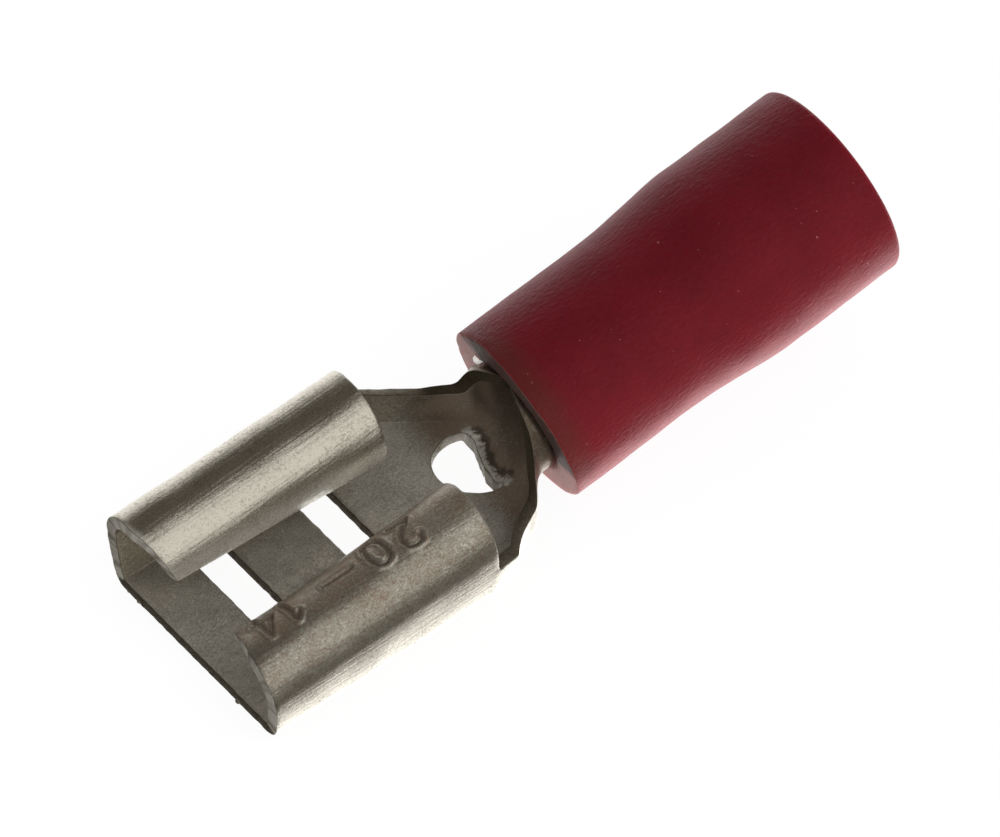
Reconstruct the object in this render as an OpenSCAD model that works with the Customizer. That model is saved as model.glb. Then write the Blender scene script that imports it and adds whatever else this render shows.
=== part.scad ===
// Insulated female spade terminal: a folded sheet-metal socket with rolled side wings, a tapering
// neck and a wire barrel, with a vinyl sleeve over the barrel.
// X runs from the socket's mouth to the wire entry, Y is across, Z is up.
// The origin is the middle of the mouth, on the floor that the tab slides along.
//
// The metal is described as its flat blank is: every cross-section is a run of sheet, measured from
// the middle outwards, and the direction the sheet has turned to at each point of that run.

/* [Tab socket] */
// Width of the flat tab that the socket takes
tab_w = 6.3; // [4.8:0.1:7.6]
// Play between the tab and each side wall
side_play = 0.05; // [0.02:0.01:0.15]
// Thickness of the metal sheet
sheet_t = 0.4; // [0.3:0.05:0.45]
// Length of the rolled wings
box_l = 7.5; // [6.6:0.1:10]
// Height of the wings' crown at the mouth, over the underside
crown_h = 3.18; // [2.9:0.02:3.6]
// How much higher the crown is at the back of the wings
crown_rise = 0.2; // [0:0.02:0.4]
// Radius of the shoulder between side wall and crown
shoulder_r = 1.05; // [0.8:0.05:1.2]
// Gap between floor and rolled edge at the mouth
mouth_gap = 1.45; // [1.2:0.05:1.7]
// Gap between floor and rolled edge at the back
grip_gap = 1.0; // [0.9:0.05:1.4]
// Slot between the two rolled edges
edge_slot = 2.5; // [1.6:0.1:3]
// How far the rolled edge is set back at the mouth, as a lead-in
lead_in = 0.45; // [0.2:0.05:1]
// Radius of the rolled edge's back corner
wing_corner_r = 0.4; // [0.2:0.05:0.8]

/* [Spring bridge] */
// Distance from the mouth to the front window
window_start = 1.85; // [1.2:0.05:2.2]
// Length of each window along the socket
window_l = 0.98; // [0.6:0.02:1.2]
// Length of the bridge between the windows
bridge_l = 2.32; // [1.8:0.02:2.6]
// Metal left between each window's end and the side wall
window_margin = 0.35; // [0.2:0.05:1]
// How far the bridge stands up from the floor
bridge_rise = 0.1; // [0.02:0.02:0.2]
// Diameter of the detent dimple that drops into the tab's hole
dimple_d = 1.5; // [1:0.1:1.7]
// Height of that dimple over the bridge
dimple_h = 0.22; // [0.1:0.02:0.3]

/* [Neck] */
// Length of the neck from the wings to the barrel's mouth
neck_l = 3.55; // [3:0.05:4.2]
// Height of the neck's side flanges over the underside
flange_h = 1.35; // [1:0.05:1.6]
// Lean of the neck's flanges away from upright, in degrees
flange_lean = 9; // [5:1:35]
// Upward bend of the barrel against the floor, in degrees
neck_bend = 7.5; // [0.5:0.5:12]
// Diameter of the stop hole in the neck
stop_hole_d = 2; // [1.2:0.1:2.2]

/* [Wire barrel] */
// Outer diameter of the barrel
barrel_d = 3.2; // [2.8:0.1:3.6]
// Length of the barrel
barrel_l = 6.2; // [5:0.1:8]
// Width of the butt seam along the top of the barrel
seam_gap = 0.08; // [0.04:0.02:0.2]

/* [Sleeve] */
// Length of the sleeve
sleeve_l = 11.2; // [9.6:0.1:14]
// Outer diameter over the barrel
sleeve_d = 5.46; // [5:0.02:5.8]
// Outer diameter of the widened wire-entry end
entry_d = 5.92; // [5.8:0.02:8]
// Diameter of the wire-entry bore
entry_bore_d = 4.3; // [3.8:0.1:4.8]
// Length of the barrel that stands out of the sleeve
barrel_proud = 0.3; // [0:0.05:0.8]
// Clearance between barrel and sleeve, each side
sleeve_fit = 0.02; // [0.01:0.01:0.05]
// Radius of the rounded rim at the wire entry
rim_r = 0.16; // [0.06:0.02:0.5]

/* [Hidden] */
$fn = 96;
tin = "#a39b8e";
vinyl = "#6e1a24";
past = 1;                     // how far cutters run past what they trim

// Folds
floor_w = tab_w + 2 * side_play + 2 * sheet_t;
bend_r = sheet_t + 0.05;      // outer radius of the folds along the floor
foot_turn = 76;               // turn of the side wall where it leaves its fold, in degrees
top_turn = 92;                // and where it meets the shoulder, so that it bulges a little
floor_half = floor_w / 2 - bend_r;
edge_y = edge_slot / 2;

// The very front of the roof, and the share of its run that is left there by the lead-in
tip_share = 0.12;
lead_in_steps = 3;

// Neck and barrel. The shares are of the neck's length, from the wings on
barrel_r = barrel_d / 2;
barrel_bore_r = barrel_r - sheet_t;
neck_steps = 18;
taper_start = 0.24;           // where the floor starts to narrow
taper_pow = 0.9;              // below 1, it narrows fastest there
lean_end = 0.5;               // where the flanges have leaned out
bend_start = 0.6;             // where the neck starts to bend upwards
stop_hole_share = 0.6;        // where the stop hole has its centre
curl_start = 0.62;            // where the section starts to curl into a tube
widen_start = 0.82;           // where the blank starts to widen into the barrel's
end_floor = 0.66;             // half width of the floor at the barrel, as a share of its radius
end_skin = 0.03;              // how much thinner the neck's last section is than the barrel
stop_hole_x = box_l + stop_hole_share * neck_l;

// Windows and bridge
window_w = floor_w - 2 * sheet_t - 2 * window_margin;
bridge_start = window_start + window_l;
dimple_ball_r = (pow(dimple_d / 2, 2) + pow(dimple_h, 2)) / (2 * dimple_h);

// Sleeve, measured from its front face
entry_bore_r = entry_bore_d / 2;
seat_r = barrel_r + sleeve_fit;
seat_l = barrel_l - barrel_proud + 0.2;
funnel_l = 1.4;
flare_start = 0.39 * sleeve_l;
flare_end = 0.66 * sleeve_l;
seat_chamfer = 0.2;

// Smooth ramp from 0 to 1
function ease(v) = let (c = min(1, max(0, v))) c * c * (3 - 2 * c);
function mix(a, b, share) = a + (b - a) * share;
function arc_run(radius, turn) = radius * turn * PI / 180;
// Length of the chord that spans a run over which the direction changes by a turn
function chord(run, turn) = abs(turn) < 0.01 ? run : run * sin(turn / 2) / (turn * PI / 360);

// --- Sections of sheet ---

// Outer face of a section at the runs given, each point as [y, z, direction]. turns is a list of
// [run, direction], between which the direction changes evenly; the first run is on the flat floor.
function outer_face(turns, runs) =
    let (ways = [for (s = runs) lookup(s, turns)])
    [for (i = 0, y = runs[0], z = 0; i < len(runs);
        step = i + 1 < len(runs) ? chord(runs[i + 1] - runs[i], ways[i + 1] - ways[i]) : 0,
        way = i + 1 < len(runs) ? (ways[i + 1] + ways[i]) / 2 : 0,
        y = y + step * cos(way), z = z + step * sin(way), i = i + 1) [y, z, ways[i]]];

// The same points at a depth below the outer face, as [y, z]
function at_depth(face, depth) = [for (p = face) [p[0] - depth * sin(p[2]), p[1] + depth * cos(p[2])]];

function reversed(v) = [for (i = [len(v) - 1:-1:0]) v[i]];
// A line from the middle to one edge, continued as its mirror image from edge to edge
function mirrored(line) = concat([for (p = reversed(line)) [-p[0], p[1]]],
    [for (i = [1:len(line) - 1]) line[i]]);

// Joins section loops, each an outer line and then the inner line back, into one piece of sheet
module loft(loops) {
    n = len(loops[0]);
    last = (len(loops) - 1) * n;
    sides = [for (k = [0:len(loops) - 2], i = [0:n - 1])
        [k * n + i, (k + 1) * n + i, (k + 1) * n + (i + 1) % n, k * n + (i + 1) % n]];
    front = [for (i = [0:n / 2 - 2]) [i, i + 1, n - 2 - i, n - 1 - i]];
    back = [for (f = front) [for (i = [3:-1:0]) last + f[i]]];
    polyhedron(points = [for (loop = loops, p = loop) p], faces = concat(sides, front, back));
}

module both_sides() {
    children();
    mirror([0, 1, 0]) children();
}

// --- Rolled wings ---

function crown_at(x) = crown_h + crown_rise * x / box_l;
// The side wall makes up the crown's height after the fold and the shoulder
function wall_run(x) =
    let (rise = crown_at(x) - bend_r * (1 - cos(foot_turn)) - shoulder_r * (1 + cos(top_turn)),
        middle = (foot_turn + top_turn) / 2)
    rise / sin(middle) / chord(1, top_turn - foot_turn);
// Distance of the crown from the middle of the socket
function crown_y(x) = floor_half + bend_r * sin(foot_turn) - shoulder_r * sin(top_turn)
    + chord(wall_run(x), top_turn - foot_turn) * cos((foot_turn + top_turn) / 2);

// The roof is an arc from the crown down to the rolled edge
function edge_drop(x) = crown_at(x) - sheet_t - mix(mouth_gap, grip_gap, x / box_l);
function roof_turn(x) = 2 * atan(edge_drop(x) / (crown_y(x) - edge_y));
function roof_run(x) = arc_run(edge_drop(x) / (1 - cos(roof_turn(x))), roof_turn(x));

// Runs at which the fold starts and ends, the shoulder starts, the crown lies and the roof ends
function wing_runs(x) =
    let (fold = floor_half + arc_run(bend_r, foot_turn), wall = fold + wall_run(x),
        crown = wall + arc_run(shoulder_r, 180 - top_turn))
    [floor_half, fold, wall, crown, crown + roof_run(x)];
function wing_turns(x) =
    let (r = wing_runs(x))
    [[r[0], 0], [r[1], foot_turn], [r[2], top_turn], [r[3], 180], [r[4], 180 + roof_turn(x)]];

// The blank's edge: cut back towards the mouth, and rounded at the back corner
function roof_share(x) =
    let (into_corner = max(0, x - box_l + wing_corner_r))
    min(mix(tip_share, 1, x / lead_in), 1)
        - (wing_corner_r - sqrt(pow(wing_corner_r, 2) - pow(into_corner, 2))) / roof_run(x);

// Lengths along the wing at which it has sections, closer together where its edge is cut
wing_stations = concat([for (i = [0:lead_in_steps]) lead_in * i / lead_in_steps],
    [for (i = [1:4]) mix(lead_in, box_l - wing_corner_r, i / 4)],
    [for (a = [30:30:90]) box_l - wing_corner_r * (1 - sin(a))]);

function wing_loop(x) =
    let (r = wing_runs(x), end = mix(r[3], r[4], roof_share(x)),
        runs = concat([r[0] - sheet_t], [for (i = [0:3]) mix(r[0], r[1], i / 3)],
            [for (i = [1:3]) mix(r[1], r[2], i / 3)], [for (i = [1:8]) mix(r[2], r[3], i / 8)],
            [for (i = [1:9]) mix(r[3], end, i / 9)]),
        face = outer_face(wing_turns(x), runs))
    [for (p = concat(at_depth(face, 0), reversed(at_depth(face, sheet_t)))) [x, p[0], p[1]]];

module wing() {
    loft([for (x = wing_stations) wing_loop(x)]);
}

// --- Floor ---

module socket_floor() {
    difference() {
        translate([0, -floor_half, 0]) cube([box_l, 2 * floor_half, sheet_t]);
        translate([window_start, -window_w / 2, -past])
            cube([2 * window_l + bridge_l, window_w, sheet_t + 2 * past]);
    }
    translate([bridge_start, 0, 0]) bridge();
}

// The bridge between the windows, stepped up from the floor at both ends, with its dimple
module bridge() {
    difference() {
        union() {
            translate([0, -window_w / 2, bridge_rise]) cube([bridge_l, window_w, sheet_t]);
            both_sides() translate([0, window_w / 2 - sheet_t, 0])
                cube([bridge_l, 1.5 * sheet_t, sheet_t]);
            translate([bridge_l / 2, 0, bridge_rise]) dimple(sheet_t);
        }
        translate([bridge_l / 2, 0, bridge_rise]) dimple(0);
    }
}

// A shallow dome that stands on the level given
module dimple(level) {
    intersection() {
        translate([0, 0, level + dimple_h - dimple_ball_r]) sphere(dimple_ball_r);
        translate([0, 0, level - sheet_t / 4]) cylinder(h = past, r = dimple_d / 2);
    }
}

// --- Neck: its sections change from a flat channel to a tube ---

// Direction of the underside at a share of the neck's length, in degrees
function neck_tilt(u) = neck_bend * max(0, (u - bend_start) / (1 - bend_start));
// Place of the underside there, as [x, z]: straight first, then an arc
function neck_at(u) =
    let (tilt = neck_tilt(u), bow_r = neck_l * (1 - bend_start) / (neck_bend * PI / 180))
    tilt == 0 ? [box_l + neck_l * u, 0]
    : [box_l + neck_l * bend_start + bow_r * sin(tilt), bow_r * (1 - cos(tilt))];

// The floor keeps its width at first, then tapers
function taper(u) = max(0, (u - taper_start) / (1 - taper_start));
function flat_half(u) = mix(floor_half, end_floor * barrel_r, pow(taper(u), taper_pow));
// Turn of the flange against the floor: the side wall's at first, then leaning out
function flange_turn(u) = mix(foot_turn, 90 - flange_lean, ease(u / lean_end));
function fold_run(u) = arc_run(bend_r, flange_turn(u));
// Run of the flange past its fold that reaches the named height
function flange_run(u) = (flange_h - bend_r * (1 - cos(flange_turn(u)))) / sin(flange_turn(u));
// How far the section has changed from a channel, at 0, to a tube, at 1
function roundness(u) = ease((u - curl_start) / (1 - curl_start));
// Half width of the blank, from the middle to its edge
function blank_half(u) = mix(flat_half(u) + fold_run(u) + flange_run(u),
    PI * barrel_r - seam_gap, ease((u - widen_start) / (1 - widen_start)));

// The neck's last section is a hair thinner than the barrel's wall, so that it ends inside it
function skin(u) = u == 1 ? end_skin : 0;

function neck_turns(u, runs) =
    [for (s = runs) [s, mix(flange_turn(u) * min(1, max(0, (s - flat_half(u)) / fold_run(u))),
        s / barrel_r * 180 / PI, roundness(u))]];

function neck_loop(u) =
    let (fold = min(flat_half(u), 0.5 * blank_half(u)), wall = fold + fold_run(u),
        runs = concat([for (i = [0:4]) fold * i / 4], [for (i = [1:3]) mix(fold, wall, i / 3)],
            [for (i = [1:8]) mix(wall, blank_half(u), i / 8)]),
        face = outer_face(neck_turns(u, runs), runs), base = neck_at(u), tilt = neck_tilt(u))
    [for (p = concat(mirrored(at_depth(face, skin(u))),
            reversed(mirrored(at_depth(face, sheet_t - skin(u))))))
        [base[0] - p[1] * sin(tilt), p[0], base[1] + p[1] * cos(tilt)]];

module neck() {
    difference() {
        loft([for (k = [0:neck_steps]) neck_loop(k / neck_steps)]);
        translate([stop_hole_x, 0, -past]) cylinder(h = flange_h + past, r = stop_hole_d / 2);
    }
}

// --- Barrel and sleeve, both on the bent axis ---

// Places its children at the barrel's mouth with their Z along the wire's way out
module at_barrel_mouth() {
    base = neck_at(1);
    translate([base[0], 0, base[1]])
        rotate([0, -neck_bend, 0])
            translate([0, 0, barrel_r])
                rotate([0, 90, 0]) children();
}

module wire_barrel() {
    at_barrel_mouth() difference() {
        cylinder(h = barrel_l, r = barrel_r);
        translate([0, 0, -past]) cylinder(h = barrel_l + 2 * past, r = barrel_bore_r);
        translate([-barrel_d, -seam_gap / 2, -past]) cube([barrel_d, seam_gap, barrel_l + 2 * past]);
    }
}

module terminal() {
    color(tin) translate([0, 0, -sheet_t]) {
        socket_floor();
        both_sides() wing();
        neck();
        wire_barrel();
    }
}

// Half section of the sleeve, radius against length
module sleeve_section() {
    body_r = sleeve_d / 2;
    end_r = entry_d / 2;
    flare_steps = 8;
    flare = [for (i = [0:flare_steps])
        [mix(body_r, end_r, ease(i / flare_steps)), mix(flare_start, flare_end, i / flare_steps)]];
    difference() {
        union() {
            polygon(concat([[0, 0], [body_r, 0]], flare,
                [[end_r, sleeve_l - rim_r], [0, sleeve_l - rim_r]]));
            translate([0, sleeve_l - 2 * rim_r]) square([end_r - rim_r, 2 * rim_r]);
            translate([end_r - rim_r, sleeve_l - rim_r]) circle(rim_r);
        }
        polygon([[0, -past], [seat_r + seat_chamfer, -past], [seat_r + seat_chamfer, 0],
            [seat_r, seat_chamfer], [seat_r, seat_l], [entry_bore_r, seat_l + funnel_l],
            [entry_bore_r, sleeve_l + past], [0, sleeve_l + past]]);
    }
}

module sleeve() {
    color(vinyl) translate([0, 0, -sheet_t])
        at_barrel_mouth() translate([0, 0, barrel_proud]) rotate_extrude() sleeve_section();
}

terminal();
sleeve();
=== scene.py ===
import math
import bpy
import bmesh
import numpy as np
from mathutils import Matrix, Vector, geometry

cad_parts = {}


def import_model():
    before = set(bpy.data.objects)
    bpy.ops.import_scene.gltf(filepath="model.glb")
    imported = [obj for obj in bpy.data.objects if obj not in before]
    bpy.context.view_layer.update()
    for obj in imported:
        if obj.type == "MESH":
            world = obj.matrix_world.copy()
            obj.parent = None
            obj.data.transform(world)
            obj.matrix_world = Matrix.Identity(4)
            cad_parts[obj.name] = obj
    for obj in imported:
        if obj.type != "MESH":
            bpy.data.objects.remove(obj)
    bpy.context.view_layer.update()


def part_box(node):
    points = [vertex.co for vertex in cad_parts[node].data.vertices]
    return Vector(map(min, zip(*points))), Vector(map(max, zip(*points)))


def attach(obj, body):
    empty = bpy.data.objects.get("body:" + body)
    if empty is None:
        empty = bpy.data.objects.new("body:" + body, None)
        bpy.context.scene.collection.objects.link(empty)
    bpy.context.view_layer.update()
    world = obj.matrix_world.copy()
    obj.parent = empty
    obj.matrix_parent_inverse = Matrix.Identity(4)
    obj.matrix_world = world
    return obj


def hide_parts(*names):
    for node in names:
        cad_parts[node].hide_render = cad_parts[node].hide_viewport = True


print("frame: loading the packed terminal")
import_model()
mm = 0.001
rad = math.pi / 180


def ease(v):  # smooth ramp from 0 to 1
    v = np.clip(v, 0.0, 1.0)
    return v * v * (3.0 - 2.0 * v)


def after(v, start, ramp):  # 0 up to the start, 1 a ramp further on
    return ease((v - start) / ramp)


def before(v, end, ramp):  # 1 until a ramp short of the end, 0 past it
    return ease((end - v) / ramp)


def mix(a, b, share):
    return a + (b - a) * share


def chordOf(run, turn):  # straight distance across a run that turns evenly
    half = np.where(np.abs(turn) < 0.01, 1.0, turn) * rad / 2
    return np.where(np.abs(turn) < 0.01, run, run * np.sin(half) / half)


# smooth noise, about -1 to 1, as a sum of plane waves of the size given
def ripple(points, size, seed, waves=14):
    rng = np.random.RandomState(seed)
    p = np.asarray(points, float)
    total = np.zeros(len(p))
    for k in range(waves):
        d = rng.normal(size=p.shape[1])
        d *= rng.uniform(0.6, 1.6) * 2 * math.pi / (size * np.linalg.norm(d))
        total += np.sin(p @ d + rng.uniform(0, 2 * math.pi))
    return total / math.sqrt(waves) / 1.4


def newObject(name, verts, faces, smooth=True):
    mesh = bpy.data.meshes.new(name)
    mesh.from_pydata([tuple(v) for v in np.asarray(verts) * mm], [], faces)
    mesh.update()
    if smooth:
        mesh.polygons.foreach_set("use_smooth", [True] * len(mesh.polygons))
    obj = bpy.data.objects.new(name, mesh)
    bpy.context.scene.collection.objects.link(obj)
    return obj


def addLayer(obj, name, values):  # a number, or a row of three, for each point
    values = np.asarray(values, np.float32)
    kind, field = ("FLOAT", "value") if values.ndim == 1 else ("FLOAT_VECTOR", "vector")
    layer = obj.data.attributes.new(name, kind, "POINT")
    layer.data.foreach_set(field, values.ravel())


def faceOutwards(obj):
    work = bmesh.new()
    work.from_mesh(obj.data)
    bmesh.ops.recalc_face_normals(work, faces=work.faces)
    openEdges = sum(1 for edge in work.edges if not edge.is_manifold)
    work.to_mesh(obj.data)
    work.free()
    print(obj.name, "faces", len(obj.data.polygons), "open edges", openEdges)


# The terminal is one sheet. It is drawn flat, as x along the blank and run across it from the
# middle, and then folded. Lengths are in mm and turns in degrees
sheet = {
    "thick": 0.4,
    "boxLength": 7.5,
    "floorHalf": 3.15,
    "foldRadius": 0.45,
    "footTurn": 76.0,
    "topTurn": 92.0,
    "barrelRadius": 1.6,
    "barrelLength": 6.2,
    "seam": 0.08,
    "edgeRound": 0.04,
    "grid": 0.11,
    "gridHalf": 9.6,
}
wings = {  # the left wing, then the right one, each at the mouth and at the back
    "crown": [(3.14, 3.40), (2.66, 3.36)],
    "shoulder": [(0.95, 1.05), (1.28, 1.45)],
    "gap": [(1.42, 1.0), (1.62, 1.75)],
    "slotHalf": [(1.25, 1.25), (1.28, 1.25)],
    "end": 7.62,
    "cornerRadius": 0.4,
    "leadIn": 0.45,
    "leadPower": (1.0, 0.75),
    "leftTip": 0.12,  # share of the roof that the lead-in leaves at the mouth
    "rightTip": 0.45,  # share of the shoulder that it takes away there
}
neck = {  # starts and ends are shares of the neck's length
    "length": 3.55,
    "taperStart": 0.24,
    "taperPower": 0.9,
    "endHalf": 0.66,  # half width of the floor at the barrel, in barrel radii
    "flangeHeight": 1.35,
    "flangeTurn": 81.0,
    "leanEnd": 0.5,
    "bulge": 8,
    "bulgeEnd": 0.3,
    "curlStart": 0.62,
    "widenStart": 0.82,
    "rimStart": 0.83,
    "rimEnd": 1.09,
    "bend": 7.5,
    "bendShare": 0.4,
    "sway": 0.2,
    "swayBack": 1.6,  # how much of its sway the right flange gives back
    "swayTurn": (0.25, 0.5),  # where that starts, and the stretch that it takes
}
neckEnd = sheet["boxLength"] + neck["length"]
barrelEnd = neckEnd + sheet["barrelLength"]


# runs at which a wing's fold, wall, shoulder and roof start, and where the roof ends, with the
# way the sheet has turned to at each
def wingBreaks(x, side):
    s = sheet
    foot, top, fold = s["footTurn"], s["topTurn"], s["foldRadius"]
    share = x / s["boxLength"]
    crown, shoulder, gap, slotHalf = (
        np.where(side > 0, mix(*wings[key][0], share), mix(*wings[key][1], share))
        for key in ("crown", "shoulder", "gap", "slotHalf"))
    rise = crown - fold * (1 - math.cos(foot * rad)) - shoulder * (1 + math.cos(top * rad))
    part = float(chordOf(np.array(1.0), np.array(top - foot)))
    middle = (foot + top) / 2 * rad
    wall = rise / math.sin(middle) / part
    crownY = s["floorHalf"] + fold * math.sin(foot * rad) - shoulder * math.sin(top * rad)
    crownY = crownY + wall * part * math.cos(middle)
    drop = crown - s["thick"] - gap
    roofTurn = 2 * np.arctan(drop / (crownY - slotHalf)) / rad
    roof = drop / (1 - np.cos(roofTurn * rad)) * roofTurn * rad
    foldAt = s["floorHalf"] + 0 * x
    wallAt = foldAt + fold * foot * rad
    shoulderAt = wallAt + wall
    crownAt = shoulderAt + shoulder * (180 - top) * rad
    turns = [0 * x, foot + 0 * x, top + 0 * x, 180 + 0 * x, 180 + roofTurn]
    return [foldAt, wallAt, shoulderAt, crownAt, crownAt + roof], turns


# measures of the neck's section at a share of its length, and the half width that its rim is cut to
def neckParts(u):
    s, k = sheet, neck
    taper = np.clip((u - k["taperStart"]) / (1 - k["taperStart"]), 0, 1)
    endHalf = k["endHalf"] * s["barrelRadius"]
    flat = mix(s["floorHalf"], endHalf, np.maximum(taper, 1e-9) ** k["taperPower"])
    turn = mix(s["footTurn"], k["flangeTurn"], ease(u / k["leanEnd"]))
    fold = s["foldRadius"] * turn * rad
    flange = k["flangeHeight"] - s["foldRadius"] * (1 - np.cos(turn * rad))
    flange = flange / np.sin(turn * rad)
    roundness = after(u, k["curlStart"], 1 - k["curlStart"])
    channel = flat + fold + flange
    tube = math.pi * s["barrelRadius"] - s["seam"] / 2
    half = mix(channel, tube, after(u, k["widenStart"], 1 - k["widenStart"]))
    rim = mix(channel, tube, after(u, k["rimStart"], k["rimEnd"] - k["rimStart"]))
    return flat, turn, fold, roundness, half, rim


def neckBreaks(u):
    flat, turn, fold, roundness, half, rim = neckParts(u)
    curl = roundness / sheet["barrelRadius"] / rad
    bulge = neck["bulge"] * (1 - ease(u / neck["bulgeEnd"]))
    breaks = [0.5 * flat, flat, flat + fold, half, half + 0.01]
    turns = [curl * breaks[0], curl * breaks[1], (1 - roundness) * turn + curl * breaks[2]]
    return breaks, turns + [(1 - roundness) * (turn + bulge) + curl * half] * 2


# place and tilt of the underside along the blank: straight, then an arc, then straight again
def baseLine(x):
    bend = neck["bend"] * rad
    straight = sheet["boxLength"] + neck["length"] * (1 - neck["bendShare"])
    bent = neck["length"] * neck["bendShare"]
    bow = bent / bend
    tilt = np.clip((x - straight) / bow, 0, bend)
    past = np.maximum(x - straight - bent, 0)
    px = np.minimum(x, straight) + bow * np.sin(tilt) + past * math.cos(bend)
    pz = bow * (1 - np.cos(tilt)) + past * math.sin(bend)
    return px, pz, tilt


# folds points of the blank, each at a depth under its outer face
def foldSheet(x, run, depth):
    side = np.where(run < 0, -1.0, 1.0)
    r = np.abs(run)
    u = np.clip((x - sheet["boxLength"]) / neck["length"], 0, 1)
    wingAt, wingTurn = wingBreaks(np.clip(x, 0, sheet["boxLength"]), side)
    neckAt, neckTurn = neckBreaks(u)
    overNeck = (x < wings["end"] + 0.1) & (r > neckAt[3])
    onWing = (x <= sheet["boxLength"]) | overNeck
    y, z, way, lastAt, lastTurn = (np.zeros_like(r) for k in range(5))
    for k in range(5):
        at = np.where(onWing, wingAt[k], neckAt[k])
        turned = np.where(onWing, wingTurn[k], neckTurn[k])
        length = np.maximum(at - lastAt, 1e-9)
        part = np.maximum(r - lastAt, 0)
        if k < 4:  # the last stretch runs on as far as it has to
            part = np.minimum(part, length)
        turn = (turned - lastTurn) * part / length
        step = chordOf(part, turn)
        middle = (lastTurn + turn / 2) * rad
        y += step * np.cos(middle)
        z += step * np.sin(middle)
        way = np.where(r > lastAt, lastTurn + turn, way)
        lastAt, lastTurn = at, turned
    y = y - depth * np.sin(way * rad)
    z = z + depth * np.cos(way * rad)
    px, pz, tilt = baseLine(x)
    back = 1 - neck["swayBack"] * after(u, *neck["swayTurn"])
    sway = neck["sway"] * np.sin(math.pi * u) * np.where(side < 0, back, 1.0)
    pz = pz - sheet["thick"]
    return np.stack([px - z * np.sin(tilt), side * y + sway, pz + z * np.cos(tilt)], -1)


# run from the middle to the free edge of the rolled wing
def wingEdge(x, side):
    breaks = wingBreaks(x, side)[0]
    left = side > 0
    lead = np.minimum(x / wings["leadIn"], 1.0) ** np.where(left, *wings["leadPower"])
    leftStart = mix(breaks[3], breaks[4], wings["leftTip"])
    rightStart = mix(breaks[3], breaks[2], wings["rightTip"])
    radius = wings["cornerRadius"]
    corner = np.clip(x - wings["end"] + radius, 0, radius)
    edge = mix(np.where(left, leftStart, rightStart), breaks[4], lead)
    return edge - radius + np.sqrt(radius ** 2 - corner ** 2)


# closed outline of the flat blank, as (x, run)
def blankOutline():
    corner = wings["end"] - wings["cornerRadius"] * (1 - np.sin(np.linspace(0, math.pi / 2, 12)))
    lead = np.linspace(0.1, wings["leadIn"], 8)
    xs = np.concatenate([[0.0, 0.05], lead, np.linspace(0.6, 7.0, 30), corner])
    us = np.linspace((wings["end"] - sheet["boxLength"]) / neck["length"], neck["rimEnd"], 54)
    rims = neckParts(us)[5]
    edge = [(sheet["boxLength"] + neck["length"] * u, rim) for u, rim in zip(us, rims)]
    halves = []
    for side in (1.0, -1.0):
        half = list(zip(xs, wingEdge(xs, side))) + edge + [(barrelEnd, edge[-1][1])]
        halves.append([(float(x), side * float(y)) for x, y in half])
    return [(0.0, 0.0)] + halves[0] + [(barrelEnd, 0.0)] + halves[1][::-1]


# resamples a closed line, rounds its corners and roughens it; also gives the way out of it
def evenLoop(points, rounding, step, ragged, seed):
    fineStep, sharpTurn, shortStep = 0.02, 0.25, 0.05
    p = np.array(points + [points[0]], float)
    gap = np.linalg.norm(np.diff(p, axis=0), axis=1)
    at = np.concatenate([[0], np.cumsum(gap)])
    n = int(at[-1] / fineStep)
    t = np.linspace(0, at[-1], n, endpoint=False)
    fine = np.stack([np.interp(t, at, p[:, 0]), np.interp(t, at, p[:, 1])], -1)
    soft = np.exp(-2 * (math.pi * np.fft.fftfreq(n, fineStep) * rounding) ** 2)
    fine = np.fft.ifft(np.fft.fft(fine[:, 0] + 1j * fine[:, 1]) * soft)
    fine = np.stack([fine.real, fine.imag], -1)
    ahead = np.roll(fine, -1, axis=0) - np.roll(fine, 1, axis=0)
    ahead /= np.linalg.norm(ahead, axis=1)[:, None]
    out = np.stack([ahead[:, 1], -ahead[:, 0]], -1)
    nextX, nextY = np.roll(fine, -1, axis=0).T
    area = np.sum(fine[:, 0] * nextY - fine[:, 1] * nextX) / 2
    out *= 1 if area > 0 else -1
    fine += out * (ragged * ripple(fine, 0.5, seed))[:, None]
    keep, since, turned = [], 9.0, 0.0
    for i in range(n):
        turn = float(np.cross(ahead[i - 1], ahead[i]))
        turned += abs(math.asin(max(-1.0, min(1.0, turn))))
        since = i * fineStep - keep[-1] * fineStep if keep else since
        if since >= step or (turned > sharpTurn and since > shortStep):
            keep.append(i)
            turned = 0.0
    return fine[keep], out[keep]


def insideLoop(points, loop):
    a, b = loop, np.roll(loop, -1, axis=0)
    rise = np.where(np.abs(b[:, 1] - a[:, 1]) < 1e-12, 1e-12, b[:, 1] - a[:, 1])
    inside = np.zeros(len(points), bool)
    for i in range(0, len(points), 4000):  # in parts, to save memory
        x, y = points[i:i + 4000, 0, None], points[i:i + 4000, 1, None]
        crosses = (a[:, 1] > y) != (b[:, 1] > y)
        crossX = a[:, 0] + (y - a[:, 1]) * (b[:, 0] - a[:, 0]) / rise
        inside[i:i + 4000] = (np.sum(crosses & (x < crossX), axis=1) % 2) == 1
    return inside


def farFrom(points, marks, reach):
    far = np.ones(len(points), bool)
    for i in range(0, len(points), 3000):
        x, y = points[i:i + 3000, 0, None], points[i:i + 3000, 1, None]
        d = (x - marks[:, 0]) ** 2 + (y - marks[:, 1]) ** 2
        far[i:i + 3000] = d.min(axis=1) > reach * reach
    return far


windows = [
    {"from": 1.84, "to": 2.83, "half": 2.85},
    {"from": 5.13, "to": 6.16, "half": 2.85},
]
stopHole = {  # round where it was cut, and ragged where the slug tore
    "at": 9.73,
    "side": 0.26,
    "radius": 1.02,
    "cut": (62, 282),  # from and to, in degrees
    "torn": [(10.03, -0.72), (9.96, -0.5), (9.98, -0.14), (10.12, 0.26), (10.24, 0.60),
             (10.29, 0.88), (10.24, 1.08)],
    "dip": 0.32,
    "reach": 0.5,
    "burr": 0.3,
}


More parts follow.
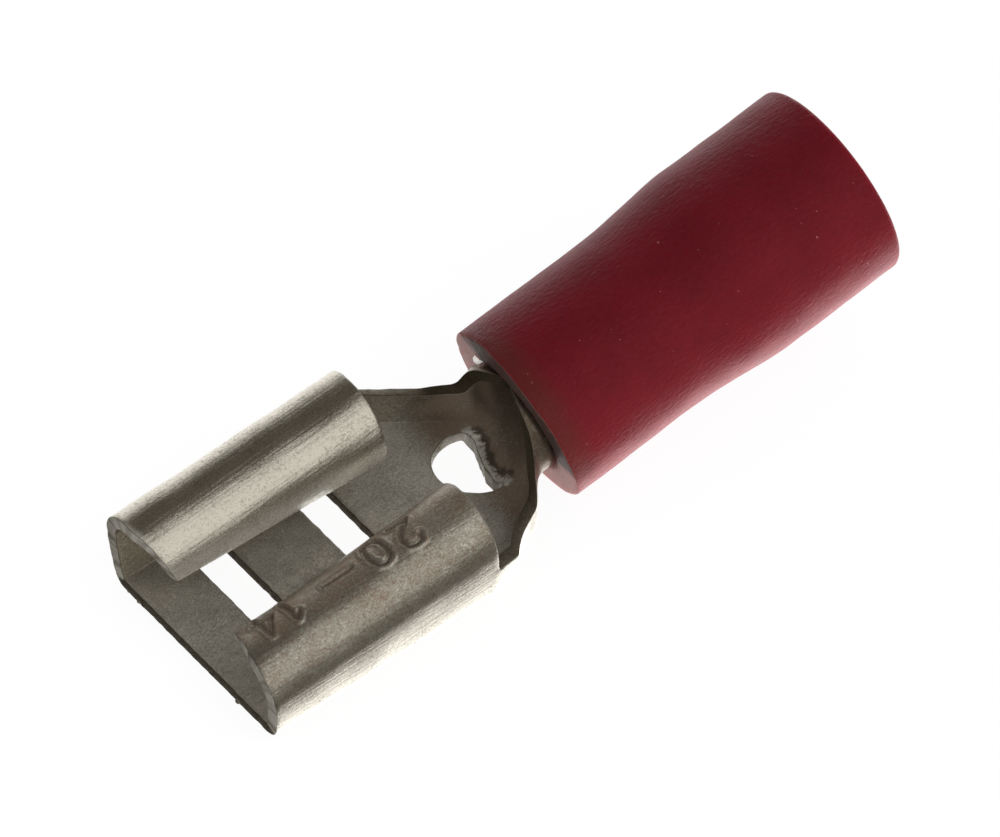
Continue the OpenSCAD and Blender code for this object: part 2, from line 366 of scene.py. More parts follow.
def holeLoops():
    loops = []
    for w in windows:
        low, high, half = w["from"], w["to"], w["half"]
        loops.append([(low, -half), (high, -half), (high, half), (low, half)])
    h = stopHole
    arc = np.linspace(*h["cut"], 44) * rad
    cut = [(h["at"] + h["radius"] * math.cos(a), h["side"] + h["radius"] * math.sin(a))
           for a in arc]
    return loops + [cut + h["torn"]]


stamp = {
    "line": [("4", 0.75), ("1", 1.5), ("-", 2.95), ("0", 4.35), ("2", 5.35)],
    "end": 7.0,
    "depth": 0.075,
    "width": 0.07,
    "rim": 0.045,
    "height": 0.92,
    "across": 0.62,
    "dash": 0.9,
    "fromCrown": (0.50, -0.02),  # how far the line lies from the crown, at the mouth and the back
}
strokes = {  # centre lines of the figures on a 0 to 1 square, both ways
    "2": [(0.05, 0.78), (0.18, 0.96), (0.5, 1.0), (0.82, 0.94), (0.94, 0.72), (0.8, 0.5),
          (0.3, 0.2), (0.05, 0.0), (0.95, 0.0)],
    "0": [(0.5, 1.0), (0.82, 0.92), (0.96, 0.7), (0.96, 0.3), (0.82, 0.08), (0.5, 0.0),
          (0.18, 0.08), (0.04, 0.3), (0.04, 0.7), (0.18, 0.92), (0.5, 1.0)],
    "1": [(0.25, 0.8), (0.55, 1.0), (0.55, 0.0)],
    "4": [(0.72, 0.0), (0.72, 1.0), (0.05, 0.32), (0.98, 0.32)],
    "-": [(0.0, 0.5), (1.0, 0.5)],
}


def stampDepth(x, run):
    s = stamp
    near = np.full(len(x), 9.0)
    crown = -wingBreaks(np.clip(x, 0, s["end"]), -1.0)[0][3]
    up = run - (crown - mix(*s["fromCrown"], x / s["end"]))
    for figure, at in s["line"]:
        wide = s["dash"] if figure == "-" else s["across"]
        points = [(at + wide * (1 - u), s["height"] * (v - 0.5)) for u, v in strokes[figure]]
        for (ax, ay), (bx, by) in zip(points, points[1:]):
            dx, dy = bx - ax, by - ay
            t = np.clip(((x - ax) * dx + (up - ay) * dy) / (dx ** 2 + dy ** 2), 0, 1)
            near = np.minimum(near, np.hypot(x - ax - t * dx, up - ay - t * dy))
    near = near / s["width"]
    groove = 1 - ease(near - 0.3)
    lip = np.exp(-((near - 1.9) / 0.55) ** 2)
    return -s["depth"] * groove + s["rim"] * lip


pressing = {
    "bridge": (2.80, 5.16),
    "bridgeHalf": 2.8,
    "bridgeRise": 0.1,
    "dimpleAt": (3.98, 0.05),
    "dimpleRadius": 0.75,
    "dimpleRise": 0.12,
    "step": (7.68, 8.4),  # a low step across the floor, behind the wings
    "stepHalf": 3.2,
    "stepRise": 0.03,
    "bead": (-0.45, 0.30),  # round the barrel's mouth, from the neck's end
    "beadRise": 0.17,
    "waveSize": 2.4,
    "wave": 0.012,
}


# how far the sheet is pressed inwards or up, over its plain folded shape
def lift(x, run):
    q, h = pressing, stopHole
    r = np.abs(run)
    start, end = q["bridge"]
    onBridge = after(x, start, 0.03) * before(x, end, 0.03) * before(r, q["bridgeHalf"], 0.25)
    up = q["bridgeRise"] * onBridge
    ball = (q["dimpleRadius"] ** 2 + q["dimpleRise"] ** 2) / (2 * q["dimpleRise"])
    d = np.hypot(x - q["dimpleAt"][0], run - q["dimpleAt"][1])
    up += np.maximum(np.sqrt(np.maximum(ball ** 2 - d ** 2, 0)) - (ball - q["dimpleRise"]), 0)
    start, end = q["step"]
    onStep = after(x, start, 0.1) * before(x, end, 0.5) * before(r, q["stepHalf"], 0.4)
    up += q["stepRise"] * onStep
    inward = h["radius"] - np.hypot(x - h["at"], run - h["side"])  # the slug's side dips
    up -= h["dip"] * after(inward, -0.06, h["reach"]) * after(x, h["at"], 0.25)
    start, end = q["bead"]
    onBead = after(x, neckEnd + start, 0.5) * before(x, neckEnd + end, 0.16) * after(r, 1.0, 1.5)
    up -= q["beadRise"] * onBead
    up += q["wave"] * ripple(np.stack([x, run], -1), q["waveSize"], 5)
    return up - stampDepth(x, run)


fineZones = [  # round the stamp and the stop hole: x from and to, run from and to, step
    (0.6, 6.2, -8.3, -5.9, 0.045),
    (8.5, 10.8, -1.0, 1.5, 0.06),
]


def offsetGrid(x0, x1, y0, y1, step):  # rows of points, every second one shifted by half a step
    ys = np.arange(y0, y1, step)
    return np.array([(x, y) for i, x in enumerate(np.arange(x0, x1, step))
                     for y in ys + (i % 2) * step / 2])


def onBlank(points, rings):
    inside = insideLoop(points, rings[0])
    for ring in rings[1:]:
        inside &= ~insideLoop(points, ring)
    return inside


# triangles over the flat blank, whose first points are those of the rings, in order
def flatMesh(rings):
    step, reach = sheet["grid"], sheet["gridHalf"]
    grid = offsetGrid(step / 2, barrelEnd, -reach, reach, step)
    for x0, x1, y0, y1, fine in fineZones:
        x, y = grid.T
        outside = (x < x0) | (x > x1) | (y < y0) | (y > y1)
        grid = np.concatenate([grid[outside], offsetGrid(x0, x1, y0, y1, fine)])
    grid = grid[onBlank(grid, rings)]
    marks = np.concatenate(rings)
    grid = grid[farFrom(grid, marks, 0.045)]
    flat = [Vector(p) for p in marks] + [Vector(p) for p in grid]
    edges, start = [], 0
    for ring in rings:
        n = len(ring)
        edges += [(start + i, start + (i + 1) % n) for i in range(n)]
        start += n
    verts, _, tris, _, _, _ = geometry.delaunay_2d_cdt(flat, edges, [], 0, 1e-6)
    assert len(verts) == len(flat)
    verts, tris = np.array([tuple(v) for v in verts]), np.array(tris)
    return verts, tris[onBlank(verts[tris].mean(axis=1), rings)]


# both faces of the sheet, joined by a rounded band along every edge
def terminalMesh():
    thick, edgeRound = sheet["thick"], sheet["edgeRound"]
    loops = [evenLoop(blankOutline(), 0.08, 0.11, 0.008, 1)]
    for k, hole in enumerate(holeLoops()):
        line, out = evenLoop(hole, 0.06, 0.1, 0.012, 20 + k)
        loops.append((line, -out))
    verts, tris = flatMesh([line - out * edgeRound for line, out in loops])
    n = len(verts)
    x, run = verts.T
    up = lift(x, run)
    points = [foldSheet(x, run, up), foldSheet(x, run, up + thick)]
    flatAt = [np.stack([x, run, 0 * x], -1), np.stack([x, run, 0 * x + thick], -1)]
    faces = [tuple(f) for f in tris] + [tuple(n + v for v in f[::-1]) for f in tris]
    near, far = 0.3 * edgeRound, 0.7 * edgeRound
    steps = [(far, near), (edgeRound, edgeRound), (edgeRound, thick / 2),
             (edgeRound, thick - edgeRound), (far, thick - near)]
    start, count = 0, 2 * n
    for line, out in loops:
        m = len(line)
        ids = [np.arange(start, start + m)]
        ring = line - out * edgeRound
        up = lift(ring[:, 0], ring[:, 1])
        hang = tornHang(ring)
        for push, depth in steps:
            p = ring + out * push
            down = up + depth - hang * (1 - depth / thick)
            points.append(foldSheet(p[:, 0], p[:, 1], down))
            flatAt.append(np.stack([p[:, 0], p[:, 1], 0 * p[:, 0] + depth], -1))
            ids.append(np.arange(count, count + m))
            count += m
        ids.append(n + np.arange(start, start + m))
        for a, b in zip(ids, ids[1:]):
            faces += [(int(a[i]), int(a[(i + 1) % m]), int(b[(i + 1) % m]), int(b[i]))
                      for i in range(m)]
        start += m
    cut = np.zeros(count)
    cut[2 * n:] = 1.0
    return np.concatenate(points), faces, np.concatenate(flatAt), cut


# how far the stop hole's torn rim hangs down, as a ragged burr
def tornHang(ring):
    x, run = ring.T
    torn = after(x, stopHole["at"] + 0.1, 0.15) * before(x, stopHole["at"] + 1.0, 0.1)
    torn = torn * before(np.abs(run), 1.3, 0.3)
    return stopHole["burr"] * torn * (1 + 0.5 * ripple(ring, 0.16, 41))


print("terminal: folding the sheet")
points, faces, flatAt, cut = terminalMesh()
terminalMetal = newObject("terminalMetal", points, faces)
faceOutwards(terminalMetal)

finish = {  # how much each zone adds to the tarnish, dullness, soot and pale cut edges; some tarnish and soot is painted shade, and the mouth's pale cut is a painted highlight, as noted below
    # the tarnish on the shoulder and the right roof is painted shade, a darker band across the
    # right wing; the neck and the floor are darker brown
    "tarnishAndShade": {"all": 0.06, "shoulder": 0.54, "rightRoofShade": 0.20, "leftCrown": 0.10,
                "bareNeck": 0.72, "floor": 0.2, "uneven": 0.14},
    "matt": {"all": 0.02, "leftLip": 1.0, "rightRoofShade": 0.3, "shoulder": 0.12, "neck": 0.16,
             "tornRim": 0.5, "floor": 0.44, "wingBack": 0.1},
    # the soot on the slug and at the bridge's back end is painted shade; the stamped grooves are
    # darker; the streaks and spots are dark marks
    "sootAndShade": {"slugShade": 0.85, "stamped": 0.45, "bridgeShade": 0.25, "streaks": 0.3, "cutSpots": 0.5},
    # the pale cut at the mouth is a painted highlight; the torn rim is pale torn metal
    "paleCut": {"torn": 0.8, "mouth": 1.0},
    "shoulderShadeFrom": (0.15, -0.25),  # where the shoulder's painted shade starts after the shoulder, mouth and back
    "roofShadeFrom": (-0.25, -0.75),  # and where the roof's painted shade does, after the crown
}


def finishZones(flat, cut):
    x, run, depth = flat.T
    place = flat[:, :2]
    r = np.abs(run)
    uneven = ripple(place, 1.6, 31) * 0.5 + ripple(place, 0.45, 32) * 0.35
    outside = depth < sheet["thick"] / 2
    inside = ~outside
    onWing = before(x, wings["end"] + 0.1, 0.2)
    left, right = onWing * outside * (run > 0), onWing * outside * (run < 0)
    share = x / sheet["boxLength"]
    breaks = wingBreaks(np.clip(x, 0, sheet["boxLength"]), np.where(run < 0, -1.0, 1.0))[0]
    fromEdge = wingEdge(np.clip(x, 0, 7.2), np.where(run < 0, -1.0, 1.0)) - r
    zones = {"all": 1.0, "uneven": uneven}
    # painted shade: a darker band over the right wing's roof and shoulder
    start = breaks[3] + mix(*finish["roofShadeFrom"], share) - 0.25 * uneven
    zones["rightRoofShade"] = after(-run, start, 0.5) * right
    start = breaks[2] + mix(*finish["shoulderShadeFrom"], share) - 0.3 * uneven
    zones["shoulder"] = after(-run, start, 0.5) * right
    middle = breaks[3] - 0.35 + 0.3 * uneven
    zones["leftCrown"] = np.exp(-((run - middle) / 0.5) ** 2) * left
    zones["leftLip"] = before(fromEdge, 0.95, 0.7) * left * (0.40 + 0.025 * x)
    zones["neck"] = after(x, 8.5, 1.6) * (1 - onWing * (r > 3.4))
    zones["wingBack"] = after(x, 7.4, 0.6) * (1 - zones["neck"])
    zones["floor"] = before(r, 3.5, 0.4) * inside
    start, end = pressing["bridge"]
    # painted shade at the bridge's back end, by the second window
    zones["bridgeShade"] = after(x, 4.6, 0.5) * before(x, end, 0.02) * zones["floor"]
    zones["stamped"] = np.clip(stampDepth(x, run) / -stamp["depth"], 0, 1) * outside * (run < 0)
    zones["streaks"] = np.maximum(ripple(place * [0.5, 6.0], 1.0, 34) - 1.2, 0)
    zones["cutSpots"] = cut * (ripple(place, 0.09, 35) < -0.625)
    zones.update(tornZones(x, run, place, uneven, inside))
    zones["bareNeck"] = zones["neck"] * (1 - 0.8 * zones["tornRim"])
    # painted highlight: pale speckled cut faces at the mouth
    zones["mouth"] = before(x, 0.75, 0.1) * after(r, 3.5, 0.3)
    return zones


def tornZones(x, run, place, uneven, inside):  # the slug, with painted shade over it, and the rim that it tore from
    tornX, tornY = np.array(stopHole["torn"]).T
    beyond = x - np.interp(run, tornY, tornX)
    aside = np.abs(run - 0.2)
    rim = before(beyond, 0.22 + 0.07 * ripple(place, 0.15, 36), 0.05) * after(beyond, -0.1, 0.05)
    rim = rim * before(aside, 1.15, 0.1) * (x > 9.6) * inside
    # painted shade over the dipped slug beyond the torn edge
    slugShade = after(beyond, 0, 0.05) * before(beyond, 0.46 + 0.12 * uneven, 0.10)
    slugShade = slugShade * before(aside, 1.15, 0.25) * inside * (1 - rim)
    torn = after(x, 9.5, 0.15) * before(x, 10.5, 0.1) * before(np.abs(run), 1.6, 0.2)
    return {"tornRim": rim, "slugShade": slugShade, "torn": torn}


# how tarnished, matt and sooty each point is, with painted shade in the tarnish and the soot, and
# how pale its cut edge, with a painted highlight at the mouth
def finishAt(flat, cut):
    zones = finishZones(flat, cut)
    tarnishAndShade, matt, sootAndShade, pale = (
        sum(weight * zones[zone] for zone, weight in finish[key].items())
        for key in ("tarnishAndShade", "matt", "sootAndShade", "paleCut"))
    pale = np.clip(pale * (0.85 + 0.45 * ripple(flat[:, :2], 0.10, 33)), 0, 1)
    matt = matt * (1 - 0.8 * cut) + 0.45 * pale * cut
    return np.clip(tarnishAndShade, 0, 1), np.clip(matt, 0, 1), np.clip(sootAndShade, 0, 1), pale * (cut > 0.5)


addLayer(terminalMetal, "flatPlace", flatAt)
for name, values in zip(("tarnishAndShade", "matt", "sootAndShade", "pale"), finishAt(flatAt, cut)):
    addLayer(terminalMetal, name, values)
addLayer(terminalMetal, "cut", cut)


class Wire:  # a socket that takes part in Python sums
    def __init__(self, bench, socket):
        self.bench = bench
        self.socket = socket

    def __add__(self, other):
        return self.bench.sum("ADD", self, other)

    def __sub__(self, other):
        return self.bench.sum("SUBTRACT", self, other)

    def __rsub__(self, other):
        return self.bench.sum("SUBTRACT", other, self)

    def __mul__(self, other):
        return self.bench.sum("MULTIPLY", self, other)

    def __truediv__(self, other):
        return self.bench.sum("DIVIDE", self, other)

    def __rtruediv__(self, other):
        return self.bench.sum("DIVIDE", other, self)

    __radd__ = __add__
    __rmul__ = __mul__

    def clamp(self):
        return self.bench.sum("MINIMUM", self.bench.sum("MAXIMUM", self, 0.0), 1.0)

    def ramp(self, low, high):  # 0 below low, 1 above high, smooth between
        t = ((self - low) / (high - low)).clamp()
        return t * t * (3.0 - 2.0 * t)


class Bench:  # a node tree and the one way to add a node to it
    def __init__(self, tree):
        self.tree = tree
        tree.nodes.clear()

    def node(self, kind, settings=None, sockets=None, out=0):
        made = self.tree.nodes.new(kind)
        for key, value in (settings or {}).items():
            setattr(made, key, value)
        for key, value in (sockets or {}).items():
            if isinstance(value, Wire):
                self.tree.links.new(value.socket, made.inputs[key])
            else:
                made.inputs[key].default_value = value
        return Wire(self, made.outputs[out]) if len(made.outputs) else made

    def other(self, wire, name):  # another output of the same node
        return Wire(self, wire.socket.node.outputs[name])

    def sum(self, operation, first, second=None):
        values = {0: first} if second is None else {0: first, 1: second}
        return self.node("ShaderNodeMath", {"operation": operation}, values)

    def mixed(self, share, first, second):
        paint = [v if isinstance(v, Wire) else (*v, 1.0) for v in (first, second)]
        sockets = {0: share, 6: paint[0], 7: paint[1]}
        return self.node("ShaderNodeMix", {"data_type": "RGBA"}, sockets, 2)

    def vector(self, operation, first, second=None, scale=None, out=0):
        values = {0: first}
        if second is not None:
            values[1] = second
        if scale is not None:
            values["Scale"] = scale
        return self.node("ShaderNodeVectorMath", {"operation": operation}, values, out)

    def noise(self, place, scale, detail=2.0, rough=0.5, warp=0.0):
        sockets = {"Vector": place, "Scale": scale, "Detail": detail, "Roughness": rough,
                   "Distortion": warp}
        return self.node("ShaderNodeTexNoise", None, sockets)

    def layer(self, name, out=2):  # out is 1 for a vector and 2 for a number
        return self.node("ShaderNodeAttribute", {"attribute_name": name}, out=out)

    def placeInMm(self):
        return self.vector("SCALE", self.node("ShaderNodeTexCoord", out=3), scale=1 / mm)

    def bump(self, height, depth):
        sockets = {"Strength": 1.0, "Distance": depth * mm, "Height": height}
        return self.node("ShaderNodeBump", None, sockets)


def newMaterial(name, build):
    material = bpy.data.materials.new(name)
    material.use_nodes = True
    bench = Bench(material.node_tree)
    shader = build(bench)
    bench.node("ShaderNodeOutputMaterial", None, {"Surface": shader})
    return material


metal = {
    "tin": (0.64, 0.60, 0.515),
    "grey": (0.37, 0.345, 0.29),
    "brown": (0.27, 0.20, 0.145),
    # bare brass of the cut faces, kept dark also as painted shade
    "cutBrassAndShade": (0.17, 0.145, 0.10),
    # pale torn metal, also used as a painted highlight on the mouth's cut faces
    "tornFace": (0.74, 0.71, 0.64),
    "sootAndShade": (0.05, 0.04, 0.03),
    "roughness": 0.20,
    "grain": 19.0,  # patterns per mm
    "speckle": 9.0,
    "cloud": 0.9,
    "specks": 3.6,
    "drawMarks": (0.5, 11.0, 1.0),  # along, across, deep
    "relief": 0.015,
}


def paintMetal(b):
    m = metal
    tarnishAndShade, matt, sootAndShade, pale, cut = map(b.layer, ("tarnishAndShade", "matt", "sootAndShade", "pale", "cut"))
    solid = b.placeInMm()
    grain = b.noise(solid, m["grain"], 3.0, 0.7).ramp(0.28, 0.72)
    speckle = b.noise(solid, m["speckle"], 4.0, 0.75)
    cloud = b.noise(solid, m["cloud"], 3.0, 0.6)
    marks = b.noise(b.vector("MULTIPLY", b.layer("flatPlace", 1), m["drawMarks"]), 1.0)
    specks = b.noise(solid, m["specks"], 6.0, 0.8).ramp(0.65, 0.70)
    # the tarnish layer also holds the painted shade on the right wing
    dull = tarnishAndShade + (speckle - 0.5) * 1.1 + (cloud - 0.5) * 0.4 + (grain - 0.5) * 0.55
    dull = dull.clamp()
    colour = b.mixed(dull.ramp(0.05, 0.5), m["tin"], m["grey"])
    colour = b.mixed(dull.ramp(0.5, 0.95), colour, m["brown"])
    # soot and painted shade: dark on the slug and the bridge's end, in the stamped grooves and in
    # streaks
    colour = b.mixed(sootAndShade * (0.6 + speckle * 0.5), colour, m["sootAndShade"])
    colour = b.mixed(specks * 0.75, colour, m["sootAndShade"])
    # the cut faces are bare brass, darkened as painted shade, and pale where torn
    cutBrassAndShade = b.mixed(pale, m["cutBrassAndShade"], m["tornFace"])
    colour = b.mixed(cut * (0.55 + speckle * 0.5), colour, cutBrassAndShade)
    # painted highlight: a light tin line along the arrises, turning to a dark burr line where the
    # cut is pale
    arrisGlintAndBurr = b.mixed(pale.ramp(0.05, 0.3), m["tin"], m["sootAndShade"])
    onArris = (cut * (1.0 - cut) * 4.0).ramp(0.1, 0.9)  # where a face meets its cut edge
    colour = b.mixed(onArris * (0.4 + speckle * 0.6), colour, arrisGlintAndBurr)
    height = grain * 0.10 + speckle * 0.55 + marks * 0.6 + cut * grain * 0.8
    return b.node("ShaderNodeBsdfPrincipled", None, {
        "Base Color": colour,
        "Metallic": (1.0 - matt).clamp(),
        "Roughness": m["roughness"] + speckle * 0.14 + dull * 0.12 + cut * 0.15,
        "Normal": b.bump(height, m["relief"]),
        "Specular IOR Level": 0.3,
    })


terminalMetal.data.materials.append(newMaterial("tinnedBrass", paintMetal))


sleeve = {  # lengths from the front face
    "length": 11.2,
    "bodyRadius": 2.73,
    "endRadius": 2.95,
    "flareStart": 4.4,
    "flareEnd": 7.4,
    "seatRadius": 1.62,
    "seatLength": 6.1,
    "seatChamfer": 0.2,
    "funnel": 1.4,
    "entryRadius": 2.15,
    "barrelProud": 0.3,
    "edge": 0.05,
    "rim": 0.16,
    "turns": 168,
    "step": 0.13,
    "waveSize": 2.2,
    "waveHeight": 0.10,
    "cutHeight": 0.12,
    "lipTurn": 125,  # where the face stands out furthest, from the left side over the top
    "lipLean": 0.21,
    "lipBow": 0.02,
    "lipReach": (0.1, 1.6),
    "skin": (2.1, 2.6),  # radii between the bore, which stays true, and the uneven outside
    "seed": 3.0,
}


def sleeveProfile():  # closed line round the wall, as (length, radius)
    s = sleeve
    edge, rim, body = s["edge"], s["rim"], s["bodyRadius"]
    line = [(edge, body)]

    def outerRadius(d):
        flare = after(d, s["flareStart"], s["flareEnd"] - s["flareStart"])
        return mix(body, s["endRadius"], float(flare))

    def go(x, y, outer=False):
        px, py = line[-1]
        n = max(1, int(math.hypot(x - px, y - py) / s["step"]))
        for i in range(1, n + 1):
            d = px + (x - px) * i / n
            line.append((d, outerRadius(d) if outer else py + (y - py) * i / n))

    rimX, rimY = s["length"] - rim, s["endRadius"] - rim
    go(rimX, s["endRadius"], True)
    for a in (18, 36, 54, 72, 90):
        line.append((rimX + rim * math.sin(a * rad), rimY + rim * math.cos(a * rad)))
    go(s["length"], s["entryRadius"] + edge)
    go(s["length"] - edge, s["entryRadius"])
    go(s["seatLength"] + s["funnel"], s["entryRadius"])
    go(s["seatLength"], s["seatRadius"])
    go(s["seatChamfer"], s["seatRadius"])
    go(0.0, s["seatRadius"] + s["seatChamfer"])
    go(0.0, body - edge)
    line.append((0.3 * edge, body - 0.3 * edge))
    return line


def newTree(name, inputs, output):
    tree = bpy.data.node_groups.new(name, "GeometryNodeTree")
    for socket, kind in inputs:
        tree.interface.new_socket(socket, in_out="INPUT", socket_type="NodeSocket" + kind)
    tree.interface.new_socket(output, in_out="OUTPUT", socket_type="NodeSocketGeometry")
    b = Bench(tree)
    given = b.node("NodeGroupInput")
    return tree, b, lambda socket: b.other(given, socket)


def latheTree():  # turns a closed profile into a wall, uneven outside, with a slanted front face
    tree, b, get = newTree("latheWall", [
        ("Profile", "Geometry"), ("Turns", "Int"), ("Wave size", "Float"),
        ("Wave height", "Float"), ("Cut height", "Float"), ("Lip turn", "Float"),
        ("Lip lean", "Float"), ("Lip bow", "Float"), ("Seed", "Float"),
        ("Surface", "Material")], "Wall")
    size = b.node("GeometryNodeAttributeDomainSize", {"component": "CURVE"},
                  {"Geometry": get("Profile")})
    count = b.other(size, "Point Count")
    rows = get("Turns") + 1.0
    grid = b.node("GeometryNodeMeshGrid", None, {
        "Size X": 1.0, "Size Y": 1.0, "Vertices X": count + 1.0, "Vertices Y": rows})
    index = b.node("GeometryNodeInputIndex")
    column = b.sum("FLOOR", index / rows)
    angle = (index - column * rows) * (2 * math.pi) / get("Turns")
    point = b.node("GeometryNodeSampleIndex", {"data_type": "FLOAT_VECTOR"}, {
        "Geometry": get("Profile"), "Value": b.node("GeometryNodeInputPosition"),
        "Index": b.sum("FLOORED_MODULO", column, count)})
    length = b.node("ShaderNodeSeparateXYZ", None, {"Vector": point})
    radius = b.other(length, "Y")
    across, up = b.sum("COSINE", angle), b.sum("SINE", angle)

    def ring():
        sockets = {"X": length, "Y": across * radius, "Z": up * radius}
        return b.node("ShaderNodeCombineXYZ", None, sockets)

    def unevenness(place, scale, detail):
        sockets = {"Vector": place, "W": get("Seed"), "Scale": scale, "Detail": detail}
        return b.node("ShaderNodeTexNoise", {"noise_dimensions": "4D"}, sockets) - 0.5

    outer = radius.ramp(*(r * mm for r in sleeve["skin"]))
    around = b.node("ShaderNodeCombineXYZ", None, {"X": across, "Y": up, "Z": 0.0})
    cut = unevenness(around, 2.2, 3.0)
    wave = unevenness(ring(), 1.0 / get("Wave size"), 2.0)
    radius = radius + wave * get("Wave height") * outer
    front = 1.0 - length.ramp(*(d * mm for d in sleeve["lipReach"]))
    facing = b.sum("COSINE", angle - get("Lip turn")) * (radius / (sleeve["bodyRadius"] * mm))
    lean = facing * get("Lip lean") + facing * facing * get("Lip bow")
    length = length + cut * get("Cut height") * front * outer - lean * front
    wall = b.node("GeometryNodeSetPosition", None, {"Geometry": grid, "Position": ring()})
    wall = b.node("GeometryNodeMergeByDistance", None, {"Geometry": wall, "Distance": 1e-6})
    wall = b.node("GeometryNodeSetShadeSmooth", None, {"Geometry": wall})
    wall = b.node("GeometryNodeRealizeInstances", None, {"Geometry": wall})
    wall = b.node("GeometryNodeSetMaterial", None,
                  {"Geometry": wall, "Material": get("Surface")})
    b.node("NodeGroupOutput", None, {"Wall": wall})
    return tree


def grow(name, source, tree, values):  # runs a tree on an object and keeps the plain mesh
    change = source.modifiers.new(name, "NODES")
    change.node_group = tree
    for item in tree.interface.items_tree:
        if item.in_out == "INPUT" and item.name in values:
            change[item.identifier] = values[item.name]
    bpy.context.view_layer.update()
    graph = bpy.context.evaluated_depsgraph_get()
    mesh = bpy.data.meshes.new_from_object(source.evaluated_get(graph))
    source.modifiers.remove(change)
    bpy.data.objects.remove(source)
    obj = bpy.data.objects.new(name, mesh)
    bpy.context.scene.collection.objects.link(obj)
    return obj


vinyl = {
    "red": (0.172, 0.0045, 0.0125),
    "dark": (0.105, 0.003, 0.007),
    # painted sheen: a paler pink on the sleeve's lower side
    "paintedSheen": (0.50, 0.17, 0.18),
    # the front face's pale colour is a painted reflection; lint specks take it too
    "face": (0.60, 0.33, 0.31),
    "brown": (0.10, 0.022, 0.016),
    # dark grime and painted shade on the top of the front face
    "grimeAndShade": (0.035, 0.022, 0.014),
    "roughness": 0.36,
    "cloud": 0.7,  # patterns per mm
    "leather": (5.0, 8.0, 0.0),  # along and around
    "fine": 20.0,
    "streaks": (1.0, 9.0, 3.0),
    "lint": 9.0,
    "relief": 0.030,
    "sheen": 0.6,
    "faceSheen": 0.05,
}


def paintVinyl(b, sheen):
    v = vinyl
    solid = b.placeInMm()
    place = b.layer("wallPlace", 1)
    along = b.node("ShaderNodeSeparateXYZ", None, {"Vector": place})
    front = b.other(along, "Z")
    cloud = b.noise(solid, v["cloud"], 3.0, 0.55)
    leather = b.noise(b.vector("MULTIPLY", place, v["leather"]), 1.0, 5.0, 0.68, 0.5)
    fine = b.noise(solid, v["fine"], 2.0, 0.6)
    streaks = b.noise(b.vector("MULTIPLY", solid, v["streaks"]), 1.0, 3.0, 0.6)
    lint = b.noise(solid, v["lint"], 0.0, 0.5).ramp(0.855, 0.885)
    colour = b.mixed(cloud.ramp(0.35, 0.75) * 0.35, v["red"], v["dark"])
    nearFront = (1.0 - along.ramp(0.0, 0.9)) * (0.35 + cloud * 0.5) * (1.0 - front)
    colour = b.mixed(nearFront, colour, v["brown"])
    # painted reflection: the front face paler, streaked
    colour = b.mixed(front * (0.45 + streaks * 0.9).clamp(), colour, v["face"])
    # painted sheen: the lower side paler pink, in leathery patches
    colour = b.mixed(b.layer("paintedSheen") * (0.15 + leather * 0.55), colour, v["paintedSheen"])
    colour = b.mixed(lint * 0.4, colour, v["face"])
    # grime and painted shade: the top of the front face dark
    colour = b.mixed(b.layer("grimeAndShade") * 0.93, colour, v["grimeAndShade"])
    height = leather * (1.6 - front * 1.2) + fine * 0.3 + front * streaks * 1.5
    return b.node("ShaderNodeBsdfPrincipled", None, {
        "Base Color": colour,
        "Roughness": v["roughness"] + fine * 0.12,
        "Normal": b.bump(height, v["relief"]),
        "IOR": 1.32,
        "Specular IOR Level": 0.30,
        "Subsurface Weight": 0.5,
        "Subsurface Radius": (1.0, 0.15, 0.12),
        "Subsurface Scale": 0.6 * mm,
        "Sheen Weight": sheen,
        "Sheen Roughness": 0.27,
        "Sheen Tint": (1.0, 0.55, 0.57, 1.0),
    })


redVinyl = newMaterial("redVinyl", lambda b: paintVinyl(b, vinyl["sheen"]))
vinylFace = newMaterial("vinylFace", lambda b: paintVinyl(b, vinyl["faceSheen"]))

zonesOnSleeve = {  # turns from the top to the left: middle, half width, raggedness, fade
    "grimeAndShade": (-27, 82, 8, 22),
    # painted sheen on the sleeve's lower side
    "paintedSheen": (-122, 40, 5, 34),
    "faceDepth": 0.42,
    "faceRadius": 2.71,
    "aroundRadius": 2.8,
}


def turnZone(name, turn, place, size, seed):
    middle, half, ragged, fade = zonesOnSleeve[name]
    away = np.abs((turn / rad - middle + 180) % 360 - 180)
    return ease((half - away + ragged * ripple(place, size, seed)) / fade)


def finishSleeve(obj):  # on the sleeve as it is turned, along X from its front face
    wall = np.empty(3 * len(obj.data.vertices), np.float32)
    obj.data.vertices.foreach_get("co", wall)
    wall = wall.reshape(-1, 3) / mm
    radius = np.hypot(wall[:, 1], wall[:, 2])
    turn = np.arctan2(wall[:, 1], wall[:, 2])
    front = before(wall[:, 0], zonesOnSleeve["faceDepth"], 0.05)
    front = front * before(radius, zonesOnSleeve["faceRadius"], 0.03)
    place = np.stack([wall[:, 0], turn * zonesOnSleeve["aroundRadius"], front], -1)
    addLayer(obj, "wallPlace", place)
    # grime and painted shade over the top of the front face
    addLayer(obj, "grimeAndShade", front * turnZone("grimeAndShade", turn, wall[:, 1:], 1.0, 44))
    # painted sheen: paler on the sleeve's lower side
    addLayer(obj, "paintedSheen", (1 - front) * turnZone("paintedSheen", turn, place[:, :2], 1.5, 45))
    obj.data.materials.clear()
    obj.data.materials.append(redVinyl)
    obj.data.materials.append(vinylFace)
    for face in obj.data.polygons:
        face.material_index = int(min(front[i] for i in face.vertices) > 0.3)


